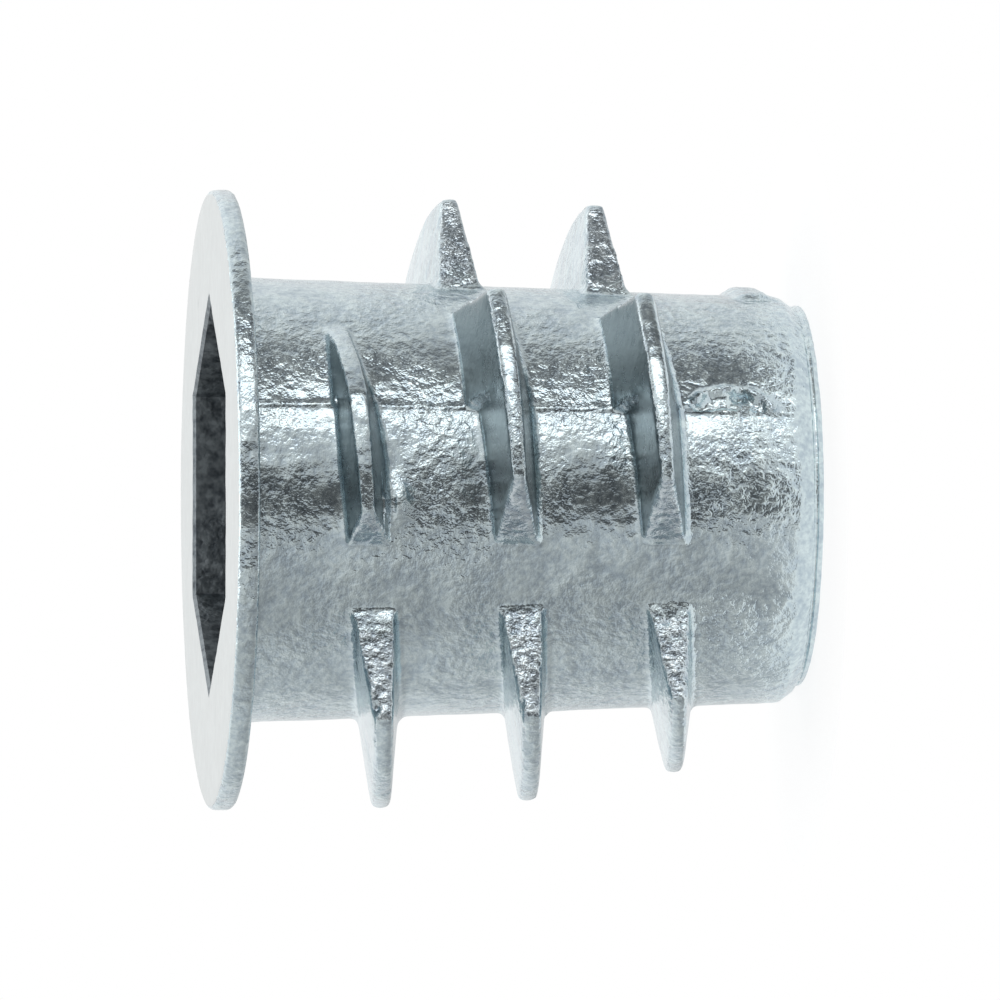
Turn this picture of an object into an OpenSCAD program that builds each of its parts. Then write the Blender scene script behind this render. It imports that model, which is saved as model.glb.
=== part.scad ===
// Flanged screw-in insert nut for wood: a zinc die casting with a hex socket for the key,
// a tapped hole for a machine screw, and a coarse outer thread broken into drafted teeth.
// Millimetres. Z is the axis. The nut stands on its entry lip, with the flange face on top.

/* [Length] */
// Overall length, from the flange face to the tip of the entry lip
overall_l = 13.9; // [11:0.1:17]
// Height of the lip that stands out of the entry end
lip_h = 0.18; // [0.1:0.02:0.4]

/* [Flange] */
// How far the flange stands out of the body, all round
flange_overhang = 2.03; // [1.5:0.01:2.6]
// Thickness of the flange
flange_t = 0.5; // [0.4:0.05:0.8]
// Radius on the two edges of the flange's rim
flange_edge_r = 0.12; // [0.05:0.01:0.18]
// Radius of the fillet between the flange and the body
flange_fillet_r = 0.3; // [0.1:0.05:0.5]

/* [Body] */
// Wall left between the corners of the hex socket and the outside of the body
corner_wall = 0.57; // [0.4:0.01:1.2]
// Taper of the body wall on each side, in degrees
body_taper = 2; // [0.5:0.25:3]
// Radius round the entry end of the body
entry_r = 0.5; // [0.2:0.05:0.7]
// Wall of the entry lip, outside the screw's largest diameter
lip_wall = 0.46; // [0.25:0.01:0.55]
// Radius on the outer edge of the entry lip
lip_edge_r = 0.1; // [0.05:0.01:0.15]

/* [Hex socket] */
// Width across flats of the hex key that drives the nut
key_af = 8; // [6:0.5:10]
// Room between the key and the socket, across flats
key_clearance = 0.05; // [0.05:0.05:0.3]
// Depth of the hex socket
socket_depth = 5; // [3:0.5:7]
// Chamfer round the mouth of the socket
socket_chamfer = 0.1; // [0.05:0.05:0.3]

/* [Machine thread] */
// Nominal diameter of the machine screw
screw_d = 8; // [5:1:10]
// Pitch of the machine screw
screw_pitch = 1.25; // [0.8:0.05:1.5]

/* [Wood thread] */
// Pitch of the outer thread
wood_pitch = 3.45; // [2.8:0.05:4.5]
// Height of a full tooth over the body
tooth_h = 2.05; // [1.4:0.05:2.5]
// Width of a tooth at its crest
crest_w = 0.42; // [0.3:0.02:0.7]
// Angle of the flank on the flange side, in degrees
flange_flank = 9; // [4:0.5:14]
// Angle of the flank on the entry side, in degrees
entry_flank = 6; // [4:0.5:14]
// Angle of that flank on the teeth that the parting plane cuts, in degrees
parted_flank = 12.5; // [4:0.5:16]
// Half the angle that a tooth covers at the body, in degrees
tooth_half_angle = 36; // [28:0.5:40]
// Draft of a tooth's two end faces, in degrees
end_draft = 11; // [3:0.5:14]
// Distance from the flange face to the middle of the first tooth
thread_start = 2.92; // [2.4:0.02:4]
// Bare length of body beyond the end of the thread
thread_end_gap = 1; // [0.7:0.05:2]
// Slope of the cone that the crests follow down to the body at the entry end, in degrees
lead_in_angle = 38; // [30:1:60]
// Height of the first tooth over the body, beyond its ramp
first_tooth_h = 1; // [0.5:0.05:2]
// Angle of the ramp on which the first tooth rises from the body, in degrees
run_in = 28; // [15:1:34]

/* [Casting] */
// Direction of the die's parting plane round the axis, in degrees
parting_angle = -66; // [-180:2:180]
// Shift along the axis for each degree that lets a straight flank leave the die
flank_draft = 0.0035; // [0:0.0005:0.005]
// Radius of the fillet where a flank meets the body
root_fillet = 0.1; // [0.05:0.01:0.15]
// Rounding of a tooth's crest edges
crest_round = 0.07; // [0.03:0.01:0.1]

/* [Hidden] */
$fn = 96;
eps = 0.01;
arc_steps = 6;

TEETH_PER_TURN = 4;
HEX_SIDES = 6;
// Depth of an internal metric thread's crest below its nominal radius, for each pitch
ISO_DEPTH = 0.541266;

screw_r = screw_d / 2;
minor_r = screw_r - ISO_DEPTH * screw_pitch;
// The screw passes through the socket on its way to the thread
socket_af = max(key_af, screw_d) + key_clearance;
socket_r = socket_af / 2 / cos(180 / HEX_SIDES);
socket_floor = overall_l - socket_depth;
countersink = screw_r - minor_r;

body_r = socket_r + corner_wall;
flange_r = body_r + flange_overhang;
lip_r = screw_r + lip_wall;
body_l = overall_l - lip_h;

tooth_spacing = wood_pitch / TEETH_PER_TURN;
thread_end = overall_l - thread_end_gap;
teeth = floor((thread_end - thread_start) / tooth_spacing) + 1;
// The last tooth's foot stops where the rounding of the body's end starts
thread_foot = body_l - entry_r;
// How far a tooth's foot reaches into the wall
tooth_sink = 0.16;
half_steps = 5;
// Part of a tooth's half width that the step at the parting line takes
parting_step = 0.06;
// Angle past the foot of the first tooth's ramp at which its solid ends, inside the wall
ramp_overrun = 2;
// Angle over which the first tooth's flanks spread to their full width, against its ramp
foot_spread = 1.5;

// Radius of the body at distance s below the flange face
function root_r(s) = body_r - s * tan(body_taper);

// Points of an arc round centre c, from angle a0 to a1
function arc(c, r, a0, a1) =
    [for (i = [0:arc_steps]) let (a = a0 + (a1 - a0) * i / arc_steps) c + r * [cos(a), sin(a)]];

// Outline of the turned form, from the axis at the bottom round to the axis at the top
function outline() =
    let (end_r = root_r(body_l) - entry_r,
         end_z = lip_h + entry_r,
         back_z = overall_l - flange_t,
         fillet_x = root_r(flange_t) + flange_fillet_r,
         rim_x = flange_r - flange_edge_r)
    concat(
        [[0, 0]],
        arc([lip_r - lip_edge_r, lip_edge_r], lip_edge_r, -90, 0),
        [[lip_r, lip_h]],
        arc([end_r, end_z], entry_r, -90, -body_taper),
        arc([fillet_x, back_z - flange_fillet_r], flange_fillet_r, 180 - body_taper, 90),
        arc([rim_x, back_z + flange_edge_r], flange_edge_r, -90, 0),
        arc([rim_x, overall_l - flange_edge_r], flange_edge_r, 0, 90),
        [[0, overall_l]]);

module turned_body() {
    rotate_extrude() polygon(outline());
}

module hex_socket() {
    translate([0, 0, socket_floor])
        cylinder(r = socket_r, h = socket_depth + eps, $fn = HEX_SIDES);
    translate([0, 0, overall_l - socket_chamfer])
        cylinder(r1 = socket_r, r2 = socket_r + socket_chamfer + eps,
                 h = socket_chamfer + eps, $fn = HEX_SIDES);
}

// Hole at the minor diameter of the machine thread, countersunk at both ends
module tapped_hole() {
    rotate_extrude()
        polygon([[0, -eps], [screw_r + eps, -eps], [minor_r, countersink],
                 [minor_r, socket_floor - countersink], [screw_r + eps, socket_floor + eps],
                 [0, socket_floor + eps]]);
}

// Angle from a tooth's middle to its flat end face, at radius r, where the body's radius is root
function end_angle(r, root) = asin(root * sin(tooth_half_angle + end_draft) / r) - end_draft;

// Height of tooth k over the body, at distance s and a degrees from its middle
function crest_h(k, s, a) =
    let (cone_h = (thread_end - s) * (tan(lead_in_angle) - tan(body_taper)),
         ramp_h = first_tooth_h * min(1, (run_in - a) / run_in))
    max(-tooth_sink / 2, min(tooth_h, cone_h, k > 0 ? tooth_h : ramp_h));

// Distance from a tooth's centre line to its flank, at each level from foot to crest
function flank_out(k, side, level, a) =
    let (angle = side < 0 ? flange_flank : k % 2 == 0 ? parted_flank : entry_flank,
         spread = k > 0 ? 1 : max(0, min(1, (run_in - a) / (foot_spread * run_in))),
         foot_out = crest_w / 2 + (tooth_h - root_fillet) * tan(angle) * spread)
    [foot_out + root_fillet + tooth_sink, foot_out, crest_w / 2, crest_w / 2 - crest_round][level];

// Distance below the flange face of one point of tooth k, a degrees from its middle, on a tooth
// that ends at a_end. The parting plane cuts every second tooth: there each die half keeps one
// flank straight, so that it can leave along its own pull.
function flank_s(k, side, level, a, a_end) =
    let (middle = thread_start + k * tooth_spacing,
         lead = wood_pitch / 360,
         parted = k % 2 == 0,
         straight_flange = parted && a >= 0 && level < 2 && side < 0,
         straight_entry = parted && a < 0 && side > 0,
         top = k > 0 ? a_end : run_in)
    straight_flange
        ? middle - top * lead + (top - a) * flank_draft - flank_out(k, side, level, top)
    : straight_entry ? middle - a * flank_draft + flank_out(k, side, level, a)
    : middle - a * lead + side * flank_out(k, side, level, a);

// One point of tooth k: t runs from -1 to 1 between its end faces, level from foot to crest
function tooth_point(k, t, side, level) =
    let (middle = thread_start + k * tooth_spacing,
         root = root_r(middle),
         on_ramp = k == 0 && t > 0,
         ramp_end = run_in + ramp_overrun,
         a_crest = t * (on_ramp ? ramp_end : end_angle(root + tooth_h, root)),
         crest = crest_h(k, middle - a_crest * wood_pitch / 360, a_crest),
         full = tooth_sink + tooth_h,
         part = [0, (tooth_sink + root_fillet) / full, 1 - crest_round / full, 1][level],
         r = root - tooth_sink + part * (tooth_sink + crest),
         a_end = on_ramp ? ramp_end : end_angle(r, root),
         s = min(thread_foot, flank_s(k, side, level, t * a_end, a_end)),
         turn = parting_angle - k * 360 / TEETH_PER_TURN + t * a_end)
    [r * cos(turn), r * sin(turn), overall_l - s];

// The section's corners, from the entry-side foot over the crest to the flange-side foot
CORNERS = concat([for (level = [0:3]) [1, level]], [for (level = [3:-1:0]) [-1, level]]);

module tooth(k) {
    stations = concat([for (i = [0:half_steps]) -1 + i * (1 - parting_step) / half_steps],
                      [for (i = [0:half_steps]) i / half_steps]);
    n = len(CORNERS);
    last = (len(stations) - 1) * n;
    points = [for (t = stations) for (c = CORNERS) tooth_point(k, t, c[0], c[1])];
    sides = [for (i = [0:len(stations) - 2]) for (j = [0:n - 1])
        let (a = i * n + j, b = i * n + (j + 1) % n) each [[a, b, b + n], [a, b + n, a + n]]];
    ends = [for (j = [0:n / 2 - 2])
        let (a = j, b = j + 1, c = n - 2 - j, d = n - 1 - j)
        each [[a, c, b], [a, d, c], [last + a, last + b, last + c], [last + a, last + c, last + d]]];
    polyhedron(points, concat(sides, ends));
}

module insert_nut() {
    color("silver")
    difference() {
        union() {
            turned_body();
            for (k = [0:teeth - 1]) tooth(k);
        }
        hex_socket();
        tapped_hole();
    }
}

insert_nut();
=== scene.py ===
"""Looks of a flanged screw-in insert nut for wood, one bright zinc die casting with a hex socket.

The casting is modelled in millimetres round the nut's axis (+Z, entry lip at z = 0, flange face on
top) and scaled to metres at the end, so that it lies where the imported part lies. Directions round
the axis are angles in degrees from +X towards +Y, and s is the distance below the flange face.
"""

import logging
import math
from dataclasses import dataclass, field
from enum import Enum
from typing import Callable

import bmesh
import bpy
from mathutils import Matrix, Vector, noise


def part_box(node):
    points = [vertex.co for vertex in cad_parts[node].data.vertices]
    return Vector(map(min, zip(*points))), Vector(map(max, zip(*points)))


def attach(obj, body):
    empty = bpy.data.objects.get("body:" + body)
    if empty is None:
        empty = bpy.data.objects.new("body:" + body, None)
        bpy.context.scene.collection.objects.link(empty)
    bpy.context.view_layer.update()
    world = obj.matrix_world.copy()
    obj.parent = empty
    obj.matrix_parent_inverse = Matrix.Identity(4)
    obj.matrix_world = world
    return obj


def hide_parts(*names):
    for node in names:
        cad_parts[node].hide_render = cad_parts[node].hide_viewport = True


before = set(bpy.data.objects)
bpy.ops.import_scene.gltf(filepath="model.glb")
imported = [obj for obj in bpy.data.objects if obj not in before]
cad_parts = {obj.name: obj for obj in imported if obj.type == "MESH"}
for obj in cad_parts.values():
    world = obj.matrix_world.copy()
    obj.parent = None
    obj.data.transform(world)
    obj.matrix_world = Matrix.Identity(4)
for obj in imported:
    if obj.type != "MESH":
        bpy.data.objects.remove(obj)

logging.basicConfig(level=logging.INFO, format="%(name)s: %(message)s")
log = logging.getLogger("insert_nut")

MM = 0.001
NODE = "insert_nut"
BODY = "root"
CAD_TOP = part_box(NODE)[1][2]
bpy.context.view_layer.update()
# Vertices closer than this, in millimetres, are one
MERGE_DISTANCE = 1e-5


class Side(Enum):
    """The two sides of a tooth of the wood thread, as the sign of s that points out of it."""

    FLANGE = -1
    ENTRY = 1


class Surface(Enum):
    """The surfaces that are finished apart, as the casting's material slots."""

    SKIN = 0
    FLANGE_FACE = 1
    CORE = 2
    FLANK = 3
    TOOTH_END = 4


def new_mesh_object(name: str, bm: bmesh.types.BMesh) -> bpy.types.Object:
    """Puts a bmesh into a new object of the scene.

    Args:
        name: Name of the object and of its mesh.
        bm: The shape, which is freed.

    Returns:
        The new object, at the origin.
    """
    mesh = bpy.data.meshes.new(name)
    bm.to_mesh(mesh)
    bm.free()
    piece = bpy.data.objects.new(name, mesh)
    bpy.context.scene.collection.objects.link(piece)
    return piece


def apply_modifiers(piece: bpy.types.Object) -> None:
    """Replaces an object's mesh by what its modifiers make of it.

    Args:
        piece: The object, whose modifiers are removed.
    """
    graph = bpy.context.evaluated_depsgraph_get()
    made = bpy.data.meshes.new_from_object(piece.evaluated_get(graph))
    old = piece.data
    piece.modifiers.clear()
    piece.data = made
    made.name = piece.name
    bpy.data.meshes.remove(old)


def cut_away(piece: bpy.types.Object, cutter: bpy.types.Object) -> None:
    """Takes a cutter's volume out of a piece and removes the cutter.

    Args:
        piece: The object that is cut.
        cutter: A closed shape.
    """
    cut = piece.modifiers.new(cutter.name, "BOOLEAN")
    cut.operation = "DIFFERENCE"
    cut.solver = "MANIFOLD"
    cut.object = cutter
    apply_modifiers(piece)
    bpy.data.objects.remove(cutter)


def arc(
    centre: tuple[float, float], radius: float, start: float, stop: float, steps: int = 8
) -> list[Vector]:
    """Points of an arc in the XZ plane.

    Args:
        centre: Radius and height of the arc's centre.
        radius: Radius of the arc.
        start: First angle in degrees, from outwards towards the flange.
        stop: Last angle in degrees.
        steps: Number of chords.

    Returns:
        The points, from start to stop.
    """
    r, z = centre
    angles = [math.radians(start + (stop - start) * i / steps) for i in range(steps + 1)]
    return [Vector((r + radius * math.cos(a), 0, z + radius * math.sin(a))) for a in angles]


def wire(bm: bmesh.types.BMesh, points: list[Vector]) -> list[bmesh.types.BMVert | bmesh.types.BMEdge]:
    """Adds an open chain of edges to a bmesh.

    Args:
        bm: The bmesh.
        points: The chain's points in order.

    Returns:
        The new vertices and edges, as geometry for an operator.
    """
    verts = [bm.verts.new(p) for p in points]
    return verts + [bm.edges.new(pair) for pair in zip(verts, verts[1:])]


def lathe(
    bm: bmesh.types.BMesh, section: list[bmesh.types.BMVert | bmesh.types.BMEdge], steps: int
) -> None:
    """Spins a section once round the nut's axis into a closed shell that faces outwards.

    Args:
        bm: The bmesh that holds the section and takes the shell.
        section: Vertices and edges of the section, in the XZ plane.
        steps: Number of faces round the axis.
    """
    bmesh.ops.spin(
        bm, geom=section, cent=(0, 0, 0), axis=(0, 0, 1), angle=math.tau, steps=steps, use_merge=True
    )
    bmesh.ops.remove_doubles(bm, verts=bm.verts, dist=MERGE_DISTANCE)
    bmesh.ops.recalc_face_normals(bm, faces=bm.faces)


def arc_length(angle: float, start: float, r: float) -> float:
    """Length along the circle of radius r from one angle in degrees to another, by the short way."""
    return math.radians((angle - start + 180) % 360 - 180) * r


def within(low: float, value: float, high: float) -> float:
    """The value, or the nearer of two limits that it lies outside."""
    return min(high, max(low, value))


@dataclass
class TurnedBody:
    """The turned form: a thin flange, the tapering body under it and the lip round its entry end."""

    length: float = 13.9
    flange_r: float = 7.24
    flange_t: float = 0.52
    flange_edge_r: float = 0.13
    flange_fillet_r: float = 0.2
    body_r: float = 5.218
    taper: float = 2.0
    entry_bevel: float = 0.37
    entry_edge_r: float = 0.12
    bevel_angle: float = 37.0
    lip_r: float = 4.46
    lip_h: float = 0.18
    lip_edge_r: float = 0.07
    lip_gap: float = 0.07
    groove_r: float = 0.07
    groove_sides: int = 12
    # The lip belongs to the core of the die, which sits off the axis towards +X
    core_shift: float = 0.1
    turn_steps: int = 256

    @property
    def body_l(self) -> float:
        """Distance from the flange face to the body's entry end."""
        return self.length - self.lip_h

    def root_r(self, s: float) -> float:
        """Radius of the body at distance s below the flange face."""
        return self.body_r - s * math.tan(math.radians(self.taper))

    def outline(self) -> list[Vector]:
        """Draws the half outline.

        Returns:
            Its points, from the axis at the entry end round to the axis at the flange face.
        """
        bevel = self.lip_h + self.entry_bevel
        turn = math.radians((self.bevel_angle - self.taper) / 2)
        edge_r = self.root_r(self.length - bevel) - self.entry_edge_r
        edge = (edge_r, bevel + self.entry_edge_r * math.tan(turn))
        back = self.length - self.flange_t
        fillet = (self.root_r(self.flange_t) + self.flange_fillet_r, back - self.flange_fillet_r)
        rim = self.flange_r - self.flange_edge_r
        return [
            Vector((0, 0, 0)),
            *arc((self.lip_r - self.lip_edge_r, self.lip_edge_r), self.lip_edge_r, -90, 0),
            Vector((self.lip_r, 0, self.lip_h)),
            Vector((self.lip_r + self.lip_gap, 0, self.lip_h + self.lip_gap)),
            *arc(edge, self.entry_edge_r, -self.bevel_angle, -self.taper),
            *arc(fillet, self.flange_fillet_r, 180 - self.taper, 90),
            *arc((rim, back + self.flange_edge_r), self.flange_edge_r, -90, 0),
            *arc((rim, self.length - self.flange_edge_r), self.flange_edge_r, 0, 90),
            Vector((0, 0, self.length)),
        ]

    def add_to(self, bm: bmesh.types.BMesh) -> None:
        """Spins the outline into a closed shell.

        Args:
            bm: The bmesh that takes the shell.
        """
        lathe(bm, wire(bm, self.outline()), self.turn_steps)
        top = self.lip_h + self.lip_gap / 2
        lip = [v for v in bm.verts if v.co.z < top]
        bmesh.ops.translate(bm, verts=lip, vec=(self.core_shift, 0, 0))

    def groove_cutter(self) -> bpy.types.Object:
        """Makes a ring of round section, to cut the groove between the lip and the body with.

        Returns:
            The ring.
        """
        bm = bmesh.new()
        upright = Matrix.Rotation(math.pi / 2, 4, "X")
        place = Matrix.Translation((self.lip_r + self.groove_r / 2, 0, self.lip_h)) @ upright
        bmesh.ops.create_circle(bm, segments=self.groove_sides, radius=self.groove_r, matrix=place)
        lathe(bm, bm.verts[:] + bm.edges[:], self.turn_steps)
        bmesh.ops.translate(bm, verts=bm.verts, vec=(self.core_shift, 0, 0))
        return new_mesh_object("lip_groove_cutter", bm)


@dataclass(frozen=True)
class ToothCast:
    """How one tooth of the wood thread came out of the die, against the others.

    It may stand higher, reach some degrees further at both ends, or have a narrower crest.
    """

    height: float = 0.0
    widen: float = 0.0
    narrow: float = 0.0


@dataclass
class WoodThread:
    """The coarse outer thread, four teeth to a turn, each with drafted ends and two flanks.

    The first tooth runs in as a ramp under the flange, and the last ones are cut off by the lead-in
    cone, which starts end_gap above the entry end.
    """

    body: TurnedBody
    pitch: float = 3.45
    teeth_per_turn: int = 4
    teeth: int = 12
    height: float = 2.045
    crest_w: float = 0.423
    flange_flank: float = 8.9
    entry_flank: float = 6.1
    parted_flank: float = 12.5
    half_angle: float = 36.0
    end_draft: float = 11.0
    start: float = 2.922
    end_gap: float = 1.0
    lead_in: float = 38.0
    first_height: float = 1.0
    run_in: float = 28.0
    run_in_end: float = 2.0
    run_in_spread: float = 1.5
    run_out: float = 32.0
    parting: float = -66.0
    # Millimetres for each degree by which a flank along the die's pull leans
    flank_draft: float = 0.0035
    root_fillet: float = 0.12
    # How deep a tooth starts inside the wall
    sink: float = 0.2
    # Cuts along, across and up a tooth's blank
    cuts: tuple[int, int, int] = (41, 5, 13)
    # Cosine above which an edge of the blank counts as parallel to an axis
    parallel: float = 0.99
    casts: dict[int, ToothCast] = field(
        default_factory=lambda: {
            1: ToothCast(height=0.08, widen=1.2),
            5: ToothCast(height=0.05, widen=1.2),
            9: ToothCast(widen=1.0, narrow=0.03),
        }
    )

    def middle(self, k: int) -> float:
        """Distance s of tooth k's middle below the flange face."""
        return self.start + k * self.pitch / self.teeth_per_turn

    def crest_height(self, k: int, s: float, a: float) -> float:
        """Finds the height of tooth k over the body.

        Args:
            k: Number of the tooth, from the flange.
            s: Distance below the flange face.
            a: Degrees from the tooth's middle.

        Returns:
            The height, never above the lead-in cone nor, on the first and the last tooth, above a ramp.
        """
        taper = math.tan(math.radians(self.body.taper))
        cone = (self.body.length - self.end_gap - s) * (math.tan(math.radians(self.lead_in)) - taper)
        full = self.height + self.casts.get(k, ToothCast()).height
        if k == 0:
            full = self.first_height * min(1, (self.run_in - a) / self.run_in)
        if k == self.teeth - 1:
            full = min(full, cone) * within(0, (a + self.half_angle) / self.run_out, 1)
        return max(-self.sink / 2, min(full, cone))

    def end_angle(self, k: int, r: float, root: float) -> float:
        """Finds where tooth k's flat, drafted end face lies.

        Args:
            k: Number of the tooth, from the flange.
            r: Radius at which the end face is met.
            root: Radius of the body there.

        Returns:
            Degrees from the tooth's middle.
        """
        half = self.half_angle + self.casts.get(k, ToothCast()).widen
        reach = root * math.sin(math.radians(half + self.end_draft)) / r
        return math.degrees(math.asin(reach)) - self.end_draft

    def half_width(self, k: int, side: Side, v: float, a: float) -> float:
        """Finds the distance from tooth k's centre line to a flank.

        Args:
            k: Number of the tooth, from the flange.
            side: Which flank.
            v: Share of the tooth's height, 0 at the body and 1 at the crest.
            a: Degrees from the tooth's middle.

        Returns:
            The distance along the axis, with the fillet at the root.
        """
        plain = self.entry_flank if k % 2 else self.parted_flank
        angle = self.flange_flank if side is Side.FLANGE else plain
        spread = within(0, (self.run_in - a) / self.run_in_spread / self.run_in, 1) if k == 0 else 1
        flank = (1 - v) * self.height * math.tan(math.radians(angle)) * spread
        rise = v * self.height / self.root_fillet
        fillet = self.root_fillet * (1 - math.sqrt(1 - (1 - within(0, rise, 1)) ** 2))
        return self.crest_w / 2 - v * self.casts.get(k, ToothCast()).narrow + flank + fillet

    def point(self, k: int, t: float, u: float, w: float) -> Vector:
        """Finds where a point of tooth k's blank goes.

        The parting plane cuts every second tooth: there each die half keeps one flank straight, so
        that it can leave along its own pull.

        Args:
            k: Number of the tooth.
            t: Place along the tooth, -1 to 1 between its ends.
            u: Place across it, -1 on the flange flank to 1 on the entry flank.
            w: Place up it, 0 inside the wall to 1 at the crest.

        Returns:
            The point in millimetres.
        """
        middle = self.middle(k)
        root = self.body.root_r(middle)
        lead = self.pitch / 360
        on_ramp = k == 0 and t > 0
        ramp_end = self.run_in + self.run_in_end
        a_crest = t * (ramp_end if on_ramp else self.end_angle(k, root + self.height, root))
        crest = self.crest_height(k, middle - a_crest * lead, a_crest)
        r = root - self.sink + w * (self.sink + crest)
        a_end = ramp_end if on_ramp else self.end_angle(k, r, root)
        a = t * a_end
        v = max(0.0, (r - root) / crest) if crest > 0 else 0.0
        side = Side.FLANGE if u < 0 else Side.ENTRY
        parted = k % 2 == 0
        s = middle - a * lead + u * self.half_width(k, side, v, a)
        if parted and a >= 0 and side is Side.FLANGE:
            top = self.run_in if k == 0 else a_end
            foot = middle - top * lead + (top - a) * self.flank_draft
            foot += u * self.half_width(k, side, 0, top)
            crest_s = middle - a * lead + u * self.half_width(k, side, 1, a)
            s = foot + (crest_s - foot) * v
        elif parted and a < 0 and side is Side.ENTRY:
            slope = self.flank_draft + (lead - self.flank_draft) * (1 - u)
            s = middle - a * slope + u * self.half_width(k, side, v, a)
        s = min(self.body.body_l - self.body.entry_bevel, s)
        turn = math.radians(self.parting - k * 360 / self.teeth_per_turn + a)
        return Vector((r * math.cos(turn), r * math.sin(turn), self.body.length - s))

    def add_tooth(self, bm: bmesh.types.BMesh, k: int) -> None:
        """Wraps a finely cut bar round the body as tooth k.

        Args:
            bm: The bmesh that takes the tooth.
            k: Number of the tooth.
        """
        blank = bmesh.new()
        bmesh.ops.create_cube(blank, size=2)
        for axis, cuts in enumerate(self.cuts):
            spans = [(e, (e.verts[1].co - e.verts[0].co).normalized()) for e in blank.edges]
            lines = [e for e, way in spans if abs(way[axis]) > self.parallel]
            bmesh.ops.subdivide_edges(blank, edges=lines, cuts=cuts, use_grid_fill=True)
        for vert in blank.verts:
            t, u, height = vert.co
            vert.co = self.point(k, t, u, (height + 1) / 2)
        bmesh.ops.recalc_face_normals(blank, faces=blank.faces)
        mesh = bpy.data.meshes.new("tooth")
        blank.to_mesh(mesh)
        blank.free()
        bm.from_mesh(mesh)
        bpy.data.meshes.remove(mesh)

    def add_to(self, bm: bmesh.types.BMesh) -> None:
        """Adds every tooth, from the flange to the entry end.

        Args:
            bm: The bmesh that takes the teeth.
        """
        for k in range(self.teeth):
            self.add_tooth(bm, k)


class Zone(Enum):
    """Where on the outside a point lies, as the casting's relief differs there."""

    WALL = "wall"
    FLANK = "flank"
    CREST = "crest"
    TOOTH_END = "tooth end"
    RIM = "rim"
    FACE = "face"


@dataclass(frozen=True)
class Ripple:
    """Noise of one size in the relief: its height, its wavelength and how far it is drawn out."""

    height: float
    wave: float
    along: float = 1.0

    def at(self, place: Vector) -> float:
        """Height of the noise at a place, drawn out along the axis."""
        return self.height * noise.noise(Vector((place.x, place.y, place.z / self.along)) / self.wave)


RIPPLES = {
    Zone.WALL: (Ripple(0.012, 1.1), Ripple(0.008, 0.32)),
    Zone.FLANK: (Ripple(0.01, 1.3), Ripple(0.003, 0.3)),
    Zone.CREST: (Ripple(0.02, 0.6), Ripple(0.012, 0.22)),
    Zone.TOOTH_END: (Ripple(0.012, 0.3, 2.5), Ripple(0.012, 0.15, 1.5)),
    Zone.RIM: (Ripple(0.014, 0.5), Ripple(0.016, 0.22)),
    Zone.FACE: (Ripple(0.008, 2.5), Ripple(0.002, 0.3)),
}


@dataclass(frozen=True)
class Dome:
    """A round blister or, with a negative height, a pit, on the body or at a height on a tooth.

    The mark reaches as many times its half sizes as reach says, and less far up and down a tooth.
    """

    angle: float
    s: float
    height: float
    across: float
    along: float
    above: float = 0.0
    above_reach: float = 0.4
    above_fade: float = 0.15
    reach: float = 2.0
    fade: float = 1.4

    def rise(self, angle: float, s: float, r: float, above: float) -> float:
        """Finds how much the mark adds at a place on the skin.

        Args:
            angle: Degrees round the axis.
            s: Distance below the flange face.
            r: Distance from the axis.
            above: Height over the body.

        Returns:
            The height.
        """
        if abs(s - self.s) > self.reach * self.along or abs(above - self.above) > self.above_reach:
            return 0.0
        off = arc_length(angle, self.angle, r)
        if abs(off) > self.reach * self.across:
            return 0.0
        distance = (off / self.across) ** 2 + ((s - self.s) / self.along) ** 2
        distance += ((above - self.above) / self.above_fade) ** 2 if self.above else 0
        return self.height * math.exp(-self.fade * distance)


@dataclass(frozen=True)
class FlashLine:
    """A thin fin along the body where two parts of the die met, steep on one side."""

    angle: float
    height: float
    gentle: float
    steep: float
    waver: float
    waver_wave: float = 0.9
    ragged: float = 0.5
    ragged_wave: float = 0.3
    mean: float = 0.8
    reach: float = 0.5
    above_reach: float = 0.25

    def rise(self, angle: float, s: float, r: float, above: float) -> float:
        """Finds how much the fin adds at a place on the skin.

        Args:
            angle: Degrees round the axis.
            s: Distance below the flange face.
            r: Distance from the axis.
            above: Height over the body.

        Returns:
            The height.
        """
        if above > self.above_reach:
            return 0.0
        off = arc_length(angle, self.angle, r)
        if abs(off) > self.reach:
            return 0.0
        off += self.waver * noise.noise(Vector((s / self.waver_wave, self.angle, 0)))
        share = self.mean + self.ragged * noise.noise(Vector((s / self.ragged_wave, self.angle, 5)))
        width = self.gentle if off > 0 else self.steep
        return self.height * share * math.exp(-((off / width) ** 2))


@dataclass(frozen=True)
class GateScar:
    """The torn stub of the gate, on one side of the parting line: a hollow with a raised rim."""

    angle: float = -64.9
    s: float = 11.73
    half_length: float = 1.0
    half_width: float = 0.6
    rim: float = 0.1
    hollow: float = 0.09
    ragged: float = 0.05
    # Places across the scar are shares of its half sizes
    rim_at: float = 0.95
    rim_width: float = 0.17
    hollow_fade: float = 0.25
    reach: float = 1.5
    above_reach: float = 0.3
    tear_wave: float = 0.3
    tear_across: float = 1.5
    fine_tear: float = 0.6
    fine_tear_wave: float = 0.15

    def rise(self, angle: float, s: float, r: float, above: float) -> float:
        """Finds how much the scar adds at a place on the skin.

        Args:
            angle: Degrees round the axis.
            s: Distance below the flange face.
            r: Distance from the axis.
            above: Height over the body.

        Returns:
            The height.
        """
        along = (s - self.s) / self.half_length
        across = arc_length(angle, self.angle, r) / self.half_width
        out = math.hypot(along, across)
        if across < 0 or out > self.reach or above > self.above_reach:
            return 0.0
        torn = noise.noise(Vector((s / self.tear_wave, across * self.tear_across, 3)))
        torn += self.fine_tear * noise.noise(Vector((s, across, r)) / self.fine_tear_wave)
        inside = within(0.0, (1 - out) / self.hollow_fade, 1.0)
        edge = math.exp(-(((out - self.rim_at) / self.rim_width) ** 2))
        return self.rim * (1 + torn) * edge + inside * (self.ragged * torn - self.hollow)


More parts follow.
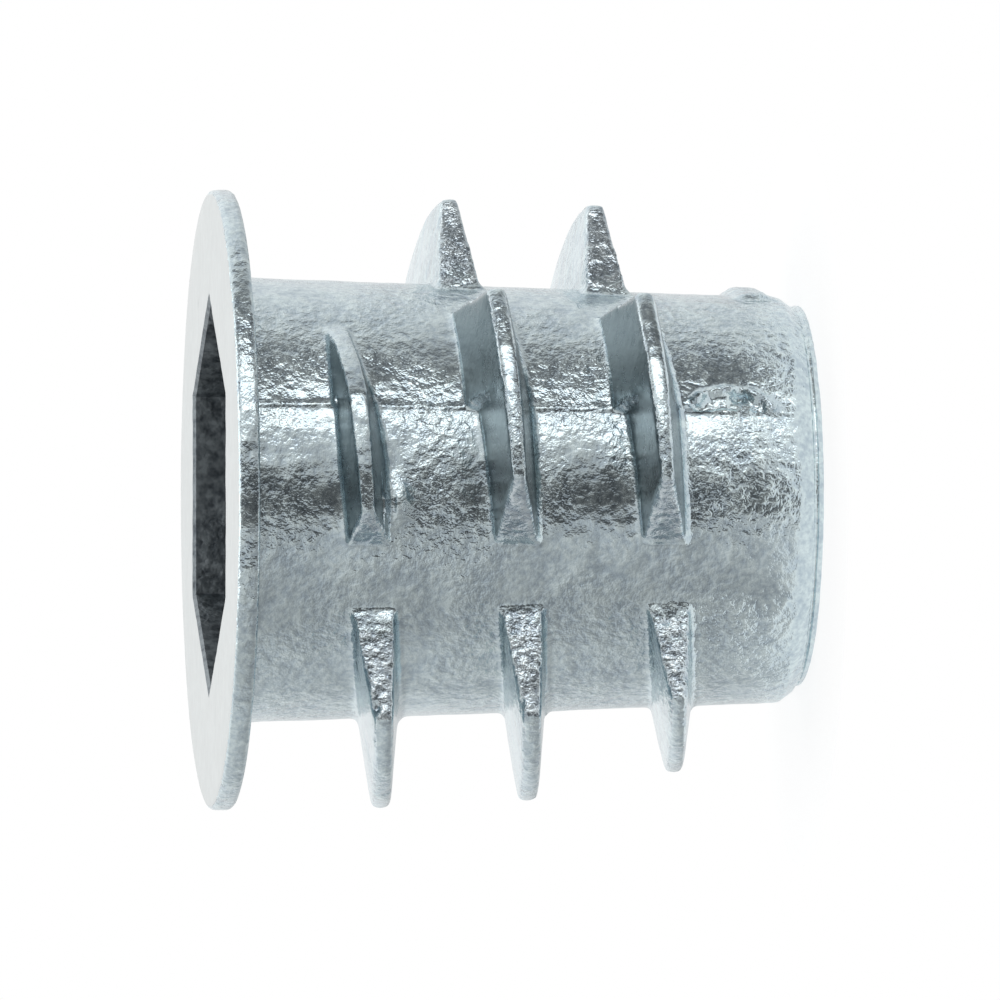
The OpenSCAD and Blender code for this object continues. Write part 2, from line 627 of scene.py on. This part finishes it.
@dataclass
class Relief:
    """The unevenness of the outside, as the metal froze against the die."""

    body: TurnedBody
    thread: WoodThread
    marks: tuple[Dome | FlashLine | GateScar, ...] = (
        FlashLine(-64.9, 0.045, 0.1, 0.05, 0.05),
        FlashLine(115.1, 0.045, 0.1, 0.05, 0.05),
        FlashLine(-35.8, 0.01, 0.1, 0.05, 0.03),
        GateScar(),
        Dome(-90.6, 3.87, 0.2, 0.58, 0.34),
        Dome(-59.6, 11.96, -0.22, 0.14, 0.2),
        Dome(-63.6, 11.0, -0.1, 0.09, 0.32),
        Dome(-133.2, 3.4, -0.12, 0.3, 0.1, 1.8),
        Dome(-133.6, 6.75, -0.12, 0.3, 0.1, 1.75),
        Dome(-123.7, 10.3, -0.1, 0.3, 0.16, 0.25),
    )
    # How the zones are told apart: by heights and distances, and by parts of the normal
    flange_fade: float = 0.08
    flange_above: float = 0.3
    wall_above: float = 0.1
    rim_facing: float = 0.5
    flank_facing: float = 0.75
    crest_facing: float = 0.6

    def zone(self, s: float, r: float, above: float, radial: float, axial: float) -> Zone:
        """Which zone a point lies in.

        Args:
            s: Distance below the flange face.
            r: Distance from the axis.
            above: Height over the body.
            radial: Part of the normal that points away from the axis.
            axial: Part of the normal along the axis.

        Returns:
            The zone.
        """
        if s < self.body.flange_t + self.flange_fade and above > self.flange_above:
            return Zone.RIM if radial > self.rim_facing else Zone.FACE
        if above < self.wall_above or s > self.body.body_l - self.body.entry_bevel:
            return Zone.WALL
        if abs(axial) > self.flank_facing:
            return Zone.FLANK
        return Zone.CREST if radial > self.crest_facing else Zone.TOOTH_END

    def rise(self, place: Vector, normal: Vector) -> float:
        """Finds how far the skin stands out at a place.

        Args:
            place: The place, in millimetres.
            normal: The skin's direction there.

        Returns:
            The height, from the ripples of the place's zone and from the marks.
        """
        r = math.hypot(place.x, place.y)
        s = self.body.length - place.z
        above = r - self.body.root_r(s)
        radial = (place.x * normal.x + place.y * normal.y) / r if r else 0.0
        zone = self.zone(s, r, above, radial, normal.z)
        height = sum(ripple.at(place) for ripple in RIPPLES[zone])
        if zone in (Zone.FACE, Zone.RIM):
            return height
        angle = math.degrees(math.atan2(place.y, place.x))
        return height + sum(mark.rise(angle, s, r, above) for mark in self.marks)

    def raise_skin(self, piece: bpy.types.Object) -> None:
        """Moves every vertex of the outside along its normal, within the nut's outer sizes.

        Args:
            piece: The fused outside, in millimetres.
        """
        widest = self.body.flange_r
        before = [(vert.co.copy(), vert.normal.copy()) for vert in piece.data.vertices]
        for vert, (place, normal) in zip(piece.data.vertices, before):
            place += normal * self.rise(place, normal)
            r = math.hypot(place.x, place.y)
            if r > widest:
                place.xy *= widest / r
            place.z = within(0.0, place.z, self.body.length)
            vert.co = place


@dataclass
class HexSocket:
    """The hexagonal socket for the key, with a slightly broken edge at its mouth."""

    sides: int = 6
    across_flats: float = 8.05
    depth: float = 5.0
    chamfer: float = 0.08
    # The socket's core sits off the axis towards +X
    core_shift: float = 0.11
    overrun: float = 0.2

    def cutter(self, top: float) -> bpy.types.Object:
        """Makes a hexagonal plug, widened at the mouth, to cut the socket with.

        Args:
            top: Height of the flange face.

        Returns:
            The plug.
        """
        bm = bmesh.new()
        radius = self.across_flats / 2 / math.cos(math.pi / self.sides)
        bmesh.ops.create_circle(bm, cap_ends=True, segments=self.sides, radius=radius)
        # create_circle's first corner is on +Y; the socket has corners on +X and -X
        turn = Matrix.Rotation(math.pi / self.sides, 3, "Z")
        bmesh.ops.rotate(bm, verts=bm.verts, cent=(0, 0, 0), matrix=turn)
        bmesh.ops.translate(bm, verts=bm.verts, vec=(self.core_shift, 0, top - self.depth))
        level = bm.faces[:]
        mouth = 1 + (self.chamfer + self.overrun) / radius
        centre = Matrix.Translation((-self.core_shift, 0, 0))
        for rise, size in ((self.depth - self.chamfer, 1), (self.chamfer + self.overrun, mouth)):
            made = bmesh.ops.extrude_face_region(bm, geom=level, use_keep_orig=True)["geom"]
            if size > 1:
                bmesh.ops.delete(bm, geom=level, context="FACES_ONLY")
            level = [g for g in made if isinstance(g, bmesh.types.BMFace)]
            ring = [g for g in made if isinstance(g, bmesh.types.BMVert)]
            bmesh.ops.translate(bm, verts=ring, vec=(0, 0, rise))
            bmesh.ops.scale(bm, verts=ring, vec=(size, size, 1), space=centre)
        bmesh.ops.recalc_face_normals(bm, faces=bm.faces)
        return new_mesh_object("socket_cutter", bm)


@dataclass
class MachineThread:
    """The tapped hole: a bore countersunk at both ends, and the turns of the thread cut into it."""

    depth: float
    screw_r: float = 4.0
    pitch: float = 1.25
    ridge: float = 0.6766
    flank_angle: float = 30.0
    overrun: float = 0.05
    groove_overrun: float = 0.1
    # The bore meets the socket's floor just inside the screw's radius
    floor_clearance: float = 0.01
    turn_steps: int = 72

    @property
    def minor_r(self) -> float:
        """Radius of the bore, at the thread's crests."""
        return self.screw_r - self.ridge

    def bore_cutter(self) -> bpy.types.Object:
        """Makes a round plug with a cone at each end, to cut the bore with.

        Returns:
            The plug.
        """
        bm = bmesh.new()
        top = self.depth + self.overrun
        top_r = self.screw_r - self.floor_clearance
        outline = [
            Vector((0, 0, -self.overrun)),
            Vector((self.screw_r + self.overrun, 0, -self.overrun)),
            Vector((self.minor_r, 0, self.ridge)),
            Vector((self.minor_r, 0, self.depth - self.ridge)),
            Vector((top_r, 0, self.depth)),
            Vector((top_r, 0, top)),
            Vector((0, 0, top)),
        ]
        lathe(bm, wire(bm, outline), 2 * self.turn_steps)
        return new_mesh_object("bore_cutter", bm)

    def groove_cutter(self) -> bpy.types.Object:
        """Makes a long coil of V-shaped section, to cut the thread's groove with.

        Returns:
            The coil, from one pitch below the entry end to past the socket's floor.
        """
        bm = bmesh.new()
        # A metric groove is 3/4 of the pitch wide at the bore and 1/8 at its floor
        inner = self.minor_r - self.groove_overrun
        mouth = 3 * self.pitch / 8 + self.groove_overrun * math.tan(math.radians(self.flank_angle))
        floor = self.pitch / 16
        start = -self.pitch
        corners = [(inner, -mouth), (self.screw_r, -floor), (self.screw_r, floor), (inner, mouth)]
        verts = [bm.verts.new((r, 0, start + z)) for r, z in corners]
        face = bm.faces.new(verts)
        turns = math.ceil((self.depth - start) / self.pitch) + 1
        steps = turns * self.turn_steps
        bmesh.ops.spin(
            bm,
            geom=[face, *face.edges, *verts],
            cent=(0, 0, 0),
            axis=(0, 0, 1),
            dvec=(0, 0, self.pitch / self.turn_steps),
            angle=math.tau * turns,
            steps=steps,
        )
        bmesh.ops.holes_fill(bm, edges=[e for e in bm.edges if e.is_boundary], sides=4)
        bmesh.ops.recalc_face_normals(bm, faces=bm.faces)
        return new_mesh_object("groove_cutter", bm)


@dataclass
class SurfaceSorter:
    """Tells the casting's surfaces apart, by the place and the direction of a face."""

    body: TurnedBody
    thread: MachineThread
    face_slack: float = 0.02
    bore_slack: float = 0.03
    floor_slack: float = 0.01
    socket_wall: float = 0.4
    tooth_foot: float = 0.12
    below_flange: float = 1.0
    # Degrees on each side of the parting plane within which the die has dragged along the flanks; these
    # flanks take the darker flank finish, which is partly painted shade
    dragged_reach: float = 45.0
    # Parts of a face's normal along the axis and away from it
    facing_up: float = 0.9
    flank_facing: float = 0.85
    crest_facing: float = 0.7

    def surface_at(self, centre: Vector, normal: Vector) -> Surface:
        """Finds the surface that a face belongs to.

        Args:
            centre: The face's middle, in millimetres.
            normal: Its direction.

        Returns:
            The surface.
        """
        r = math.hypot(centre.x, centre.y)
        if centre.z > self.body.length - self.face_slack and normal.z > self.facing_up:
            return Surface.FLANGE_FACE
        floor = self.thread.depth
        in_bore = r < self.thread.screw_r + self.bore_slack and centre.z < floor + self.floor_slack
        in_socket = r < self.body.root_r(0) - self.socket_wall and centre.z > floor - self.floor_slack
        # The socket and the bore get the core finish, whose dark colour is painted shade
        if in_bore or in_socket:
            return Surface.CORE
        s = self.body.length - centre.z
        along_teeth = self.below_flange < s < self.body.body_l - self.body.entry_bevel
        on_tooth = along_teeth and r - self.body.root_r(s) > self.tooth_foot
        if on_tooth and abs(normal.z) > self.flank_facing:
            off_parting = math.degrees(math.atan2(centre.y, centre.x)) - WoodThread.parting
            dragged = abs((off_parting + 90) % 180 - 90) < self.dragged_reach
            # Dragged flanks get the darker flank finish, partly a smoother die surface and partly
            # painted shade
            return Surface.FLANK if dragged else Surface.SKIN
        outward = (centre.x * normal.x + centre.y * normal.y) / r
        return Surface.TOOTH_END if on_tooth and outward < self.crest_facing else Surface.SKIN

    def sort(self, piece: bpy.types.Object) -> None:
        """Gives every face its surface's material slot."""
        for polygon in piece.data.polygons:
            polygon.material_index = self.surface_at(polygon.center, polygon.normal).value


@dataclass
class Casting:
    """The whole nut: the outside cast in one with its teeth, then the socket and the tapped hole."""

    body: TurnedBody = field(default_factory=TurnedBody)
    socket: HexSocket = field(default_factory=HexSocket)
    grain: float = 0.05
    # Share of the way to its neighbours that a vertex moves in one round of softening
    soften_step: float = 0.5
    soften: int = 8
    crisp_below: float = 0.75
    tip_soften: int = 40
    tip_above: float = 1.0
    tip_below_flange: float = 0.3
    faces: int = 150000
    sharp_angle: float = 40.0

    def outside(self) -> bpy.types.Object:
        """Makes the body and its teeth as one closed skin with softened edges.

        Returns:
            The skin, in millimetres.
        """
        bm = bmesh.new()
        self.body.add_to(bm)
        teeth = WoodThread(self.body)
        teeth.add_to(bm)
        piece = new_mesh_object(f"{NODE}_casting", bm)
        fuse = piece.modifiers.new("fuse", "REMESH")
        fuse.mode = "VOXEL"
        fuse.voxel_size = self.grain
        apply_modifiers(piece)
        tips_top = self.body.length - self.body.flange_t - self.tip_below_flange
        self.soften_where(piece, self.soften, lambda z, above: z > self.crisp_below)
        self.soften_where(
            piece, self.tip_soften, lambda z, above: z < tips_top and above > self.tip_above
        )
        Relief(self.body, teeth).raise_skin(piece)
        log.info("fused skin: %d faces", len(piece.data.polygons))
        return piece

    def soften_where(
        self, piece: bpy.types.Object, rounds: int, chosen: Callable[[float, float], bool]
    ) -> None:
        """Rounds off a part of the skin.

        Args:
            piece: The skin.
            rounds: How many times the vertices move towards their neighbours.
            chosen: Whether a vertex takes part, by its z and its height over the body.
        """
        group = piece.vertex_groups.new(name="soft")
        places = [(v.index, v.co.z, math.hypot(v.co.x, v.co.y)) for v in piece.data.vertices]
        picked = [i for i, z, r in places if chosen(z, r - self.body.root_r(self.body.length - z))]
        group.add(picked, 1.0, "REPLACE")
        smooth = piece.modifiers.new("soften", "SMOOTH")
        smooth.factor = self.soften_step
        smooth.iterations = rounds
        smooth.vertex_group = group.name
        apply_modifiers(piece)
        piece.vertex_groups.clear()

    def thin_out(self, piece: bpy.types.Object) -> None:
        """Reduces the skin to its share of triangles.

        Args:
            piece: The skin.
        """
        fewer = piece.modifiers.new("fewer", "DECIMATE")
        fewer.ratio = self.faces / (2 * len(piece.data.polygons))
        fewer.use_collapse_triangulate = True
        apply_modifiers(piece)
        for vert in piece.data.vertices:
            vert.co.z = within(0.0, vert.co.z, self.body.length)

    def build(self) -> bpy.types.Object:
        """Makes the casting in its place, in metres.

        Returns:
            The finished object.
        """
        piece = self.outside()
        self.thin_out(piece)
        cut_away(piece, self.body.groove_cutter())
        cut_away(piece, self.socket.cutter(self.body.length))
        thread = MachineThread(depth=self.body.length - self.socket.depth)
        cut_away(piece, thread.bore_cutter())
        cut_away(piece, thread.groove_cutter())
        piece.data.materials.clear()
        SurfaceSorter(self.body, thread).sort(piece)
        piece.data.transform(Matrix.Scale(MM, 4))
        for polygon in piece.data.polygons:
            polygon.use_smooth = True
        piece.data.set_sharp_from_angle(angle=math.radians(self.sharp_angle))
        return piece


def add_node(tree: bpy.types.NodeTree, kind: str, **values: object) -> bpy.types.Node:
    """Adds a node to a tree.

    Args:
        tree: The node tree.
        kind: The node's type.
        values: Attributes of the node, and values or links for its inputs. An input goes by its
            name, with underscores for spaces, or by i and its number.

    Returns:
        The new node.
    """
    node = tree.nodes.new(kind)
    sockets = {}
    for key, value in values.items():
        if hasattr(node, key):
            setattr(node, key, value)
        else:
            sockets[key] = value
    for key, value in sockets.items():
        by_number = key[0] == "i" and key[1:].isdigit()
        socket = node.inputs[int(key[1:])] if by_number else node.inputs[key.replace("_", " ")]
        if isinstance(value, bpy.types.NodeSocket):
            tree.links.new(value, socket)
        else:
            socket.default_value = value
    return node


def maths(
    tree: bpy.types.NodeTree, operation: str, a: object, b: object = 0.0
) -> bpy.types.NodeSocket:
    """Adds a Math node and returns its value."""
    return add_node(tree, "ShaderNodeMath", operation=operation, i0=a, i1=b).outputs[0]


def map_range(
    tree: bpy.types.NodeTree,
    value: bpy.types.NodeSocket,
    span: tuple[float, float] = (0.0, 1.0),
    onto: tuple[float, float] = (0.0, 1.0),
) -> bpy.types.NodeSocket:
    """Maps a value from one span onto another, and holds it inside that one.

    Args:
        tree: The node tree.
        value: The value.
        span: The span that it comes from.
        onto: The span that it goes to.

    Returns:
        The mapped value.
    """
    low, high = span
    node = add_node(tree, "ShaderNodeMapRange", Value=value, From_Min=low, From_Max=high)
    node.inputs["To Min"].default_value = onto[0]
    node.inputs["To Max"].default_value = onto[1]
    return node.outputs[0]


@dataclass(frozen=True)
class CastSkin:
    """The skin of a zinc casting: a crinkled relief in stronger and weaker patches, and a mottle.

    The scales are shares of the grain's, and the depths are shares of the fine noise's.
    """

    fine_roughness: float = 0.65
    cell_scale: float = 0.55
    cell_depth: float = 0.6
    coarse_scale: float = 0.24
    coarse_depth: float = 1.5
    coarse_mottle: float = 0.45
    mottle_span: tuple[float, float] = (0.52, 0.9)
    patch_scale: float = 0.07
    patch_span: tuple[float, float] = (0.4, 0.6)
    patch_depth: tuple[float, float] = (0.5, 1.6)

    def group(self) -> bpy.types.NodeTree:
        """Makes the node group.

        Returns:
            A group with inputs Vector and Grain, the fine noise's scale, and outputs Height and Mottle.
        """
        tree = bpy.data.node_groups.new("cast skin", "ShaderNodeTree")
        face = tree.interface
        face.new_socket("Vector", in_out="INPUT", socket_type="NodeSocketVector")
        face.new_socket("Grain", in_out="INPUT", socket_type="NodeSocketFloat")
        face.new_socket("Height", in_out="OUTPUT", socket_type="NodeSocketFloat")
        face.new_socket("Mottle", in_out="OUTPUT", socket_type="NodeSocketFloat")
        given = add_node(tree, "NodeGroupInput").outputs
        place = given["Vector"]
        grain = given["Grain"]
        noise_node = add_node(tree, "ShaderNodeTexNoise", Vector=place, Scale=grain, Detail=2.0)
        noise_node.inputs["Roughness"].default_value = self.fine_roughness
        fine = noise_node.outputs["Fac"]
        cell_scale = maths(tree, "MULTIPLY", grain, self.cell_scale)
        cells = add_node(tree, "ShaderNodeTexVoronoi", Vector=place, Scale=cell_scale)
        coarse = self.broad_noise(tree, place, grain, self.coarse_scale)
        patch = self.broad_noise(tree, place, grain, self.patch_scale)
        depth = map_range(tree, patch, self.patch_span, self.patch_depth)
        crinkle = maths(tree, "MULTIPLY", cells.outputs["Distance"], self.cell_depth)
        crisp = maths(tree, "MULTIPLY", maths(tree, "ADD", fine, crinkle), depth)
        height = maths(tree, "ADD", crisp, maths(tree, "MULTIPLY", coarse, self.coarse_depth))
        both = maths(tree, "ADD", fine, maths(tree, "MULTIPLY", coarse, self.coarse_mottle))
        out = add_node(tree, "NodeGroupOutput")
        tree.links.new(height, out.inputs["Height"])
        tree.links.new(map_range(tree, both, self.mottle_span), out.inputs["Mottle"])
        return tree

    def broad_noise(
        self,
        tree: bpy.types.NodeTree,
        place: bpy.types.NodeSocket,
        grain: bpy.types.NodeSocket,
        share: float,
    ) -> bpy.types.NodeSocket:
        """Adds a plain noise whose scale is a share of the grain's."""
        scale = maths(tree, "MULTIPLY", grain, share)
        return add_node(tree, "ShaderNodeTexNoise", Vector=place, Scale=scale, Detail=1.0).outputs["Fac"]


@dataclass(frozen=True)
class ZincFinish:
    """One finish of the zinc: its colours, how rough it is and how deep its cast relief lies.

    The shade is the colour of the mottle's dark spots, the roughness goes from those to the bright
    ones, and the relief's depth is in millimetres.
    """

    name: str
    colour: tuple[float, float, float]
    shade: tuple[float, float, float]
    roughness: tuple[float, float]
    grain: float
    relief: float

    def material(self, skin: bpy.types.NodeTree) -> bpy.types.Material:
        """Makes the finish as a material.

        Args:
            skin: The cast skin's node group.

        Returns:
            The material.
        """
        material = bpy.data.materials.new(self.name)
        material.use_nodes = True
        tree = material.node_tree
        shader = tree.nodes["Principled BSDF"]
        shader.inputs["Metallic"].default_value = 1
        place = add_node(tree, "ShaderNodeTexCoord").outputs["Object"]
        cast = add_node(tree, "ShaderNodeGroup", node_tree=skin)
        tree.links.new(place, cast.inputs["Vector"])
        cast.inputs["Grain"].default_value = self.grain
        mottle = cast.outputs["Mottle"]
        colour = add_node(tree, "ShaderNodeMix", data_type="RGBA")
        tree.links.new(mottle, colour.inputs["Factor"])
        colour.inputs["A"].default_value = (*self.shade, 1)
        colour.inputs["B"].default_value = (*self.colour, 1)
        tree.links.new(colour.outputs["Result"], shader.inputs["Base Color"])
        tree.links.new(map_range(tree, mottle, onto=self.roughness), shader.inputs["Roughness"])
        bump = add_node(tree, "ShaderNodeBump", Strength=1.0, Distance=self.relief * MM)
        tree.links.new(cast.outputs["Height"], bump.inputs["Height"])
        tree.links.new(bump.outputs["Normal"], shader.inputs["Normal"])
        return material


FINISHES = {
    Surface.SKIN: ZincFinish(
        name="cast_zinc",
        colour=(0.67, 0.77, 0.79),
        shade=(0.46, 0.55, 0.61),
        roughness=(0.12, 0.24),
        grain=6500,
        relief=0.026,
    ),
    Surface.FLANGE_FACE: ZincFinish(
        name="flange_face_zinc",
        colour=(0.7, 0.73, 0.73),
        shade=(0.62, 0.65, 0.65),
        roughness=(0.35, 0.45),
        grain=3000,
        relief=0.004,
    ),
    # Much darker than the skin: painted shade in the recessed socket and bore
    Surface.CORE: ZincFinish(
        name="core_zinc_painted_shade",
        colour=(0.34, 0.38, 0.4),
        shade=(0.13, 0.15, 0.17),
        roughness=(0.35, 0.5),
        grain=4000,
        relief=0.02,
    ),
    # Darker than the skin: partly the smoother flanks that the die dragged, partly painted shade between
    # the teeth
    Surface.FLANK: ZincFinish(
        name="flank_zinc_and_painted_shade",
        colour=(0.37, 0.43, 0.45),
        shade=(0.27, 0.32, 0.34),
        roughness=(0.25, 0.35),
        grain=5000,
        relief=0.012,
    ),
    Surface.TOOTH_END: ZincFinish(
        name="tooth_end_zinc",
        colour=(0.72, 0.8, 0.83),
        shade=(0.38, 0.45, 0.51),
        roughness=(0.12, 0.24),
        grain=6500,
        relief=0.044,
    ),
}


@dataclass
class Camera:
    """A long lens beside the nut, a little towards the flange, with the axis across the picture.

    The distance and the flange face's place are in pixels, the scale is a pixel's size on the nut
    in millimetres, and the tilt is in degrees.
    """

    distance_px: float = 15666.0
    scale: float = 0.023343
    tilt: float = 6.477
    flange_x: float = 208.8
    flange_y: float = 500.0
    picture: int = 1000
    sensor: float = 36.0
    clip_start: float = 0.01
    clip_end: float = 10.0

    def place(self) -> None:
        """Makes the camera and gives it to the scene."""
        tilt = math.radians(self.tilt)
        back = Vector((0, -math.cos(tilt), math.sin(tilt)))
        right = Vector((0, -math.sin(tilt), -math.cos(tilt)))
        up = Vector((1, 0, 0))
        unit = self.scale * MM
        flange = Vector((0, 0, CAD_TOP))
        half = self.picture / 2
        target = flange - right * (self.flange_x - half) * unit - up * (half - self.flange_y) * unit
        data = bpy.data.cameras.new("camera")
        data.sensor_fit = "HORIZONTAL"
        data.sensor_width = self.sensor
        data.lens = self.sensor * self.distance_px / self.picture
        data.clip_start = self.clip_start
        data.clip_end = self.clip_end
        camera = bpy.data.objects.new("camera", data)
        rotation = Matrix((right, up, back)).transposed().to_4x4()
        camera.matrix_world = Matrix.Translation(target + back * self.distance_px * unit) @ rotation
        bpy.context.scene.collection.objects.link(camera)
        bpy.context.scene.camera = camera


@dataclass(frozen=True)
class SoftBox:
    """A lamp behind a diffuser, aimed at the nut's middle, with sizes in metres and energy in watts."""

    name: str
    towards: tuple[float, float, float]
    distance: float
    width: float
    length: float
    energy: float

    def hang(self) -> None:
        """Makes the lamp."""
        data = bpy.data.lights.new(self.name, "AREA")
        data.shape = "RECTANGLE"
        data.size = self.width
        data.size_y = self.length
        data.energy = self.energy
        lamp = bpy.data.objects.new(self.name, data)
        way = Vector(self.towards).normalized()
        middle = Vector((0, 0, CAD_TOP / 2))
        turn = way.to_track_quat("Z", "Y").to_matrix().to_4x4()
        lamp.matrix_world = Matrix.Translation(middle + way * self.distance) @ turn
        bpy.context.scene.collection.objects.link(lamp)


@dataclass
class Studio:
    """A pale floor in a white tent, with soft boxes and the darker gaps between them."""

    # The floor is a small disc, so that the metal mirrors the tent rather than the floor
    floor_r: float = 0.0086
    floor_steps: int = 96
    floor_colour: float = 0.8
    floor_glow: float = 0.8
    floor_shade: float = 0.34
    ambient: float = 0.75
    boxes: tuple[SoftBox, ...] = (
        SoftBox("key_box", (0.73, -0.68, 0.05), distance=0.3, width=0.09, length=0.3, energy=0.1),
        SoftBox("top_box", (0.1, 0.2, 1.0), distance=0.4, width=0.3, length=0.3, energy=0.24),
    )
    # Brightness that the metal sees round the horizon, by degrees from the camera towards +X
    tent: tuple[tuple[float, float], ...] = (
        (-180, 0.98), (-137, 0.9), (-124, 0.66), (-85, 0.7), (-76, 0.55), (-64, 0.48),
        (-50, 0.54), (-30, 0.63), (-14, 0.82), (-9, 0.11), (10, 0.11), (15, 0.68),
        (36, 0.74), (41, 0.96), (60, 0.96), (65, 0.2), (82, 0.24), (90, 0.6),
        (98, 0.78), (110, 0.9), (140, 1.0), (180, 1.0),
    )
    # The tent is darker below the horizon: the sines between which it fades, and its share of light
    low_fade: tuple[float, float] = (-0.32, 0.04)
    low_share: tuple[float, float] = (0.7, 1.08)

    def see_through(self, tree: bpy.types.NodeTree) -> bpy.types.NodeSocket:
        """Tells the rays that show the background.

        Args:
            tree: The node tree.

        Returns:
            1 for a ray from the camera, or one that metal or glass sends on.
        """
        path = add_node(tree, "ShaderNodeLightPath").outputs
        shown = maths(tree, "MAXIMUM", path["Is Camera Ray"], path["Is Glossy Ray"])
        return maths(tree, "MAXIMUM", shown, path["Is Transmission Ray"])

    def lay_floor(self) -> None:
        """Makes the floor, which looks white but keeps a soft shadow."""
        bm = bmesh.new()
        bmesh.ops.create_circle(bm, cap_ends=True, segments=self.floor_steps, radius=self.floor_r)
        floor = new_mesh_object("floor", bm)
        material = bpy.data.materials.new("floor")
        material.use_nodes = True
        tree = material.node_tree
        tree.nodes.remove(tree.nodes["Principled BSDF"])
        pale = add_node(tree, "ShaderNodeBsdfDiffuse", Color=(self.floor_colour,) * 3 + (1,))
        shade = add_node(tree, "ShaderNodeBsdfDiffuse", Color=(self.floor_shade,) * 3 + (1,))
        glow = add_node(tree, "ShaderNodeEmission", Strength=self.floor_glow)
        seen = add_node(tree, "ShaderNodeAddShader", i0=glow.outputs[0], i1=shade.outputs[0])
        shown = self.see_through(tree)
        mix = add_node(tree, "ShaderNodeMixShader", i0=shown, i1=pale.outputs[0], i2=seen.outputs[0])
        tree.links.new(mix.outputs[0], tree.nodes["Material Output"].inputs["Surface"])
        floor.data.materials.append(material)

    def pitch_tent(self) -> None:
        """Makes the world: white to the camera, and to the metal a tent with darker gaps."""
        world = bpy.data.worlds.new("tent")
        bpy.context.scene.world = world
        world.use_nodes = True
        tree = world.node_tree
        direction = add_node(tree, "ShaderNodeTexCoord").outputs["Generated"]
        way = add_node(tree, "ShaderNodeSeparateXYZ", Vector=direction)
        across = maths(tree, "MULTIPLY", way.outputs["Y"], -1.0)
        turn = maths(tree, "ARCTAN2", way.outputs["X"], across)
        share = maths(tree, "MULTIPLY_ADD", turn, 1 / math.tau)
        share.node.inputs[2].default_value = 0.5
        ramp = add_node(tree, "ShaderNodeValToRGB", Fac=share)
        stops = ramp.color_ramp.elements
        for i, (degrees, level) in enumerate(self.tent):
            at = degrees / 360 + 0.5
            stop = stops[0] if i == 0 else stops.new(at)
            stop.position = at
            stop.color = (level, level, level, 1)
        stops.remove(stops[len(self.tent)])
        path = add_node(tree, "ShaderNodeLightPath").outputs
        glossy = maths(tree, "MAXIMUM", path["Is Glossy Ray"], path["Is Transmission Ray"])
        plain = add_node(tree, "ShaderNodeBackground", Strength=self.ambient)
        fade = map_range(tree, way.outputs["Z"], self.low_fade, self.low_share)
        reflected = add_node(tree, "ShaderNodeBackground", Color=ramp.outputs["Color"], Strength=fade)
        white = add_node(tree, "ShaderNodeBackground", Color=(1, 1, 1, 1))
        shader = "ShaderNodeMixShader"
        first = add_node(tree, shader, i0=glossy, i1=plain.outputs[0], i2=reflected.outputs[0])
        last = add_node(tree, shader, i0=path["Is Camera Ray"], i1=first.outputs[0], i2=white.outputs[0])
        tree.links.new(last.outputs[0], tree.nodes["World Output"].inputs["Surface"])

    def build(self) -> None:
        """Makes the floor, the tent and the soft boxes."""
        self.lay_floor()
        self.pitch_tent()
        for box in self.boxes:
            box.hang()


def main() -> None:
    """Builds the nut and its studio, and reports each piece."""
    casting = Casting().build()
    skin = CastSkin().group()
    for surface in Surface:
        casting.data.materials.append(FINISHES[surface].material(skin))
    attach(casting, BODY)
    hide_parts(NODE)
    log.info("%s: %d faces", casting.name, len(casting.data.polygons))
    Studio().build()
    Camera().place()
    bpy.context.scene.view_settings.view_transform = "Standard"


if __name__ == "__main__":
    main()
